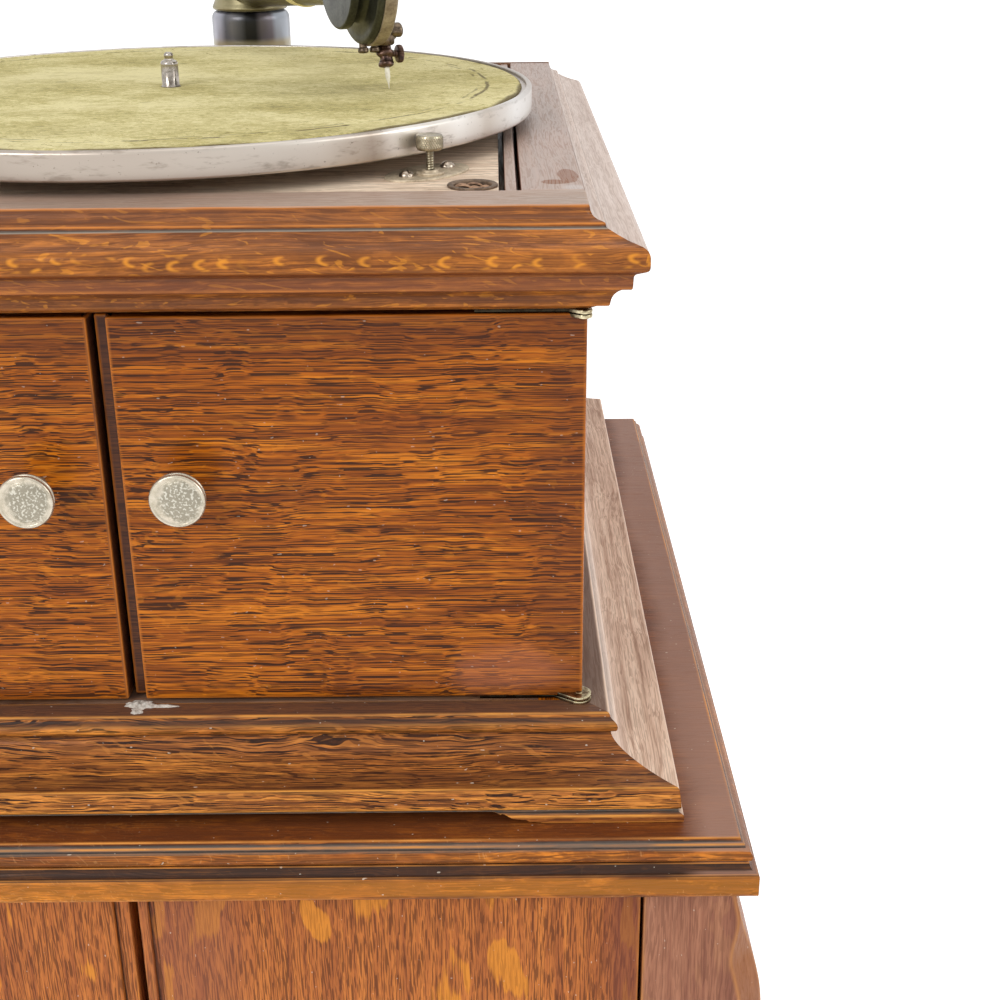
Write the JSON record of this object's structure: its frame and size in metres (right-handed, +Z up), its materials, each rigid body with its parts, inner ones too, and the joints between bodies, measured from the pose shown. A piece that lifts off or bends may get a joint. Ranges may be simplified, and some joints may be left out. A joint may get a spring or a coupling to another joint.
{
  "type": "cabinet gramophone",
  "caption": "Oak gramophone with an internal horn behind two small doors, felted turntable and swinging tone arm, on its own two-door record cabinet.",
  "frame": {"origin": "on the floor, under the centre of the outer box", "axes": "+X to the right seen from the front, -Y out of the doors, +Z up"},
  "size_m": [0.458, 0.4164, 1.0427],
  "materials": {
    "post_oak": "worn satin varnish",
    "panel_oak": "worn satin varnish",
    "back_wood": "plain matte",
    "top_oak": "dark satin varnish",
    "door_oak": "worn golden satin varnish",
    "lower_door_oak": "worn satin varnish",
    "moulding_oak": "worn satin varnish",
    "frame_oak": "worn, sheen from above",
    "board_oak": "dry, dusty",
    "horn_wood": "dark matte",
    "nickel": "worn nickel plate",
    "leaf_metal": "tarnished plate",
    "platter_metal": "satin, spun",
    "felt": "olive straw felt",
    "arm_metal": "worn plate over brass",
    "bracket_metal": "plated",
    "box_metal": "dark worn plate",
    "bar_metal": "dull",
    "steel": "bright",
    "frame_iron": "dark enamel",
    "gear_brass": "machined",
    "spring_steel": "blued",
    "elbow_iron": "rough, dark"
  },
  "bodies": {
    "cabinet": {"post_front_left": "post_oak", "post_front_right": "post_oak", "rear_posts": "post_oak", "side_panel_left": "panel_oak", "side_panel_right": "panel_oak", "cabinet_back": "back_wood", "cabinet_bottom": "back_wood", "cabinet_shelf": "back_wood", "record_dividers": "back_wood", "front_apron": "panel_oak", "cabinet_top": "top_oak", "plinth_front": "moulding_oak", "plinth_sides": "moulding_oak", "case_side_left": "door_oak", "case_side_right": "door_oak", "case_floor": "back_wood", "case_back": "back_wood", "cornice_front": "moulding_oak", "cornice_sides": "moulding_oak", "frame_front_rail": "frame_oak", "frame_side_rails": "frame_oak", "bead_strips": "frame_oak", "motor_board": "board_oak", "mouth_board": "horn_wood", "horn_body": "horn_wood", "horn_elbow": "elbow_iron", "fixed_leaves": "leaf_metal", "tonearm_bracket": "bracket_metal", "regulator_plate": "nickel", "round_head_screws": "leaf_metal", "needle_cup": "bracket_metal", "motor_frame": "frame_iron"},
    "lower_door_left": {"lower_door_left": "lower_door_oak", "lower_knob_left": "nickel", "lower_leaves_left": "leaf_metal"},
    "lower_door_right": {"lower_door_right": "lower_door_oak", "lower_knob_right": "nickel", "lower_leaves_right": "leaf_metal"},
    "upper_door_left": {"upper_door_left": "door_oak", "upper_knob_left": "nickel", "upper_leaves_left": "leaf_metal"},
    "upper_door_right": {"upper_door_right": "door_oak", "upper_knob_right": "nickel", "upper_leaves_right": "leaf_metal"},
    "turntable": {"platter": "platter_metal", "felt_mat": "felt", "spindle": "steel"},
    "tonearm": {"tonearm": "arm_metal"},
    "soundbox": {"soundbox": "box_metal", "needle_bar": "bar_metal", "needle": "steel"},
    "needle_screw": {"needle_screw": "bar_metal"},
    "regulator": {"regulator_knob": "nickel"},
    "brake": {"brake_lever": "bracket_metal"},
    "barrel": {"spring_barrel": "gear_brass", "mainspring": "spring_steel"},
    "arbor": {"barrel_arbor": "steel"},
    "intermediate": {"intermediate_wheel": "gear_brass"},
    "governor": {"governor": "gear_brass"},
    "winding": {"winding_gear": "steel"}
  },
  "joints": [
    {"name": "upper_door_right_hinge", "type": "hinge", "parent": "cabinet", "child": "upper_door_right", "pos_m": [0.1603, -0.1555, 0.7692], "axis": [0, 0, 1], "range_deg": [0, 170]},
    {"name": "upper_door_left_hinge", "type": "hinge", "parent": "cabinet", "child": "upper_door_left", "pos_m": [-0.1603, -0.1555, 0.7692], "axis": [0, 0, -1], "range_deg": [0, 170]},
    {"name": "lower_door_right_hinge", "type": "hinge", "parent": "cabinet", "child": "lower_door_right", "pos_m": [0.1789, -0.1887, 0.116], "axis": [0, 0, 1], "range_deg": [0, 98]},
    {"name": "lower_door_left_hinge", "type": "hinge", "parent": "cabinet", "child": "lower_door_left", "pos_m": [-0.1789, -0.1887, 0.116], "axis": [0, 0, -1], "range_deg": [0, 98]},
    {"name": "turntable_spin", "type": "hinge", "parent": "cabinet", "child": "turntable", "pos_m": [-0.0051, 0.0125, 0.9512], "axis": [0, 0, 1], "continuous": true},
    {"name": "intermediate_spin", "type": "hinge", "parent": "cabinet", "child": "intermediate", "pos_m": [-0.02432, 0.04294, 0.9092], "axis": [0, 0, 1], "continuous": true},
    {"name": "barrel_spin", "type": "hinge", "parent": "cabinet", "child": "barrel", "pos_m": [-0.0671, 0.0125, 0.9092], "axis": [0, 0, 1], "continuous": true},
    {"name": "governor_spin", "type": "hinge", "parent": "cabinet", "child": "governor", "pos_m": [0.0207, 0.0125, 0.8942], "axis": [0, 1, 0], "continuous": true},
    {"name": "winding_spin", "type": "hinge", "parent": "cabinet", "child": "winding", "pos_m": [0.1615, -0.00983, 0.8675], "axis": [1, 0, 0], "continuous": true},
    {"name": "arbor_spin", "type": "hinge", "parent": "cabinet", "child": "arbor", "pos_m": [-0.0671, 0.0125, 0.8675], "axis": [0, 0, 1], "continuous": true},
    {"name": "tonearm_swing", "type": "hinge", "parent": "cabinet", "child": "tonearm", "pos_m": [0.0024, 0.1862, 0.9822], "axis": [0, 0, 1], "range_deg": [-16, 24]},
    {"name": "soundbox_turn", "type": "hinge", "parent": "tonearm", "child": "soundbox", "pos_m": [0.07831, -0.00359, 1.0133], "axis": [-0.916, -0.4011, 0], "range_deg": [0, 135]},
    {"name": "needle_screw_turn", "type": "hinge", "parent": "soundbox", "child": "needle_screw", "pos_m": [0.08674, 0.0001, 0.9801], "axis": [0.916, 0.4011, 0], "continuous": true},
    {"name": "regulator_turn", "type": "hinge", "parent": "cabinet", "child": "regulator", "pos_m": [0.10848, -0.09776, 0.9512], "axis": [0, 0, 1], "range_deg": [-150, 150]},
    {"name": "brake_swing", "type": "hinge", "parent": "cabinet", "child": "brake", "pos_m": [-0.1248, -0.10107, 0.9562], "axis": [0, 0, 1], "range_deg": [-25, 0]}
  ],
  "couplings": [
    {"joint": "intermediate_spin", "follows": "turntable_spin", "ratio": -0.2},
    {"joint": "barrel_spin", "follows": "turntable_spin", "ratio": 0.033333},
    {"joint": "governor_spin", "follows": "turntable_spin", "ratio": 10},
    {"joint": "arbor_spin", "follows": "winding_spin", "ratio": 0.041667}
  ]
}
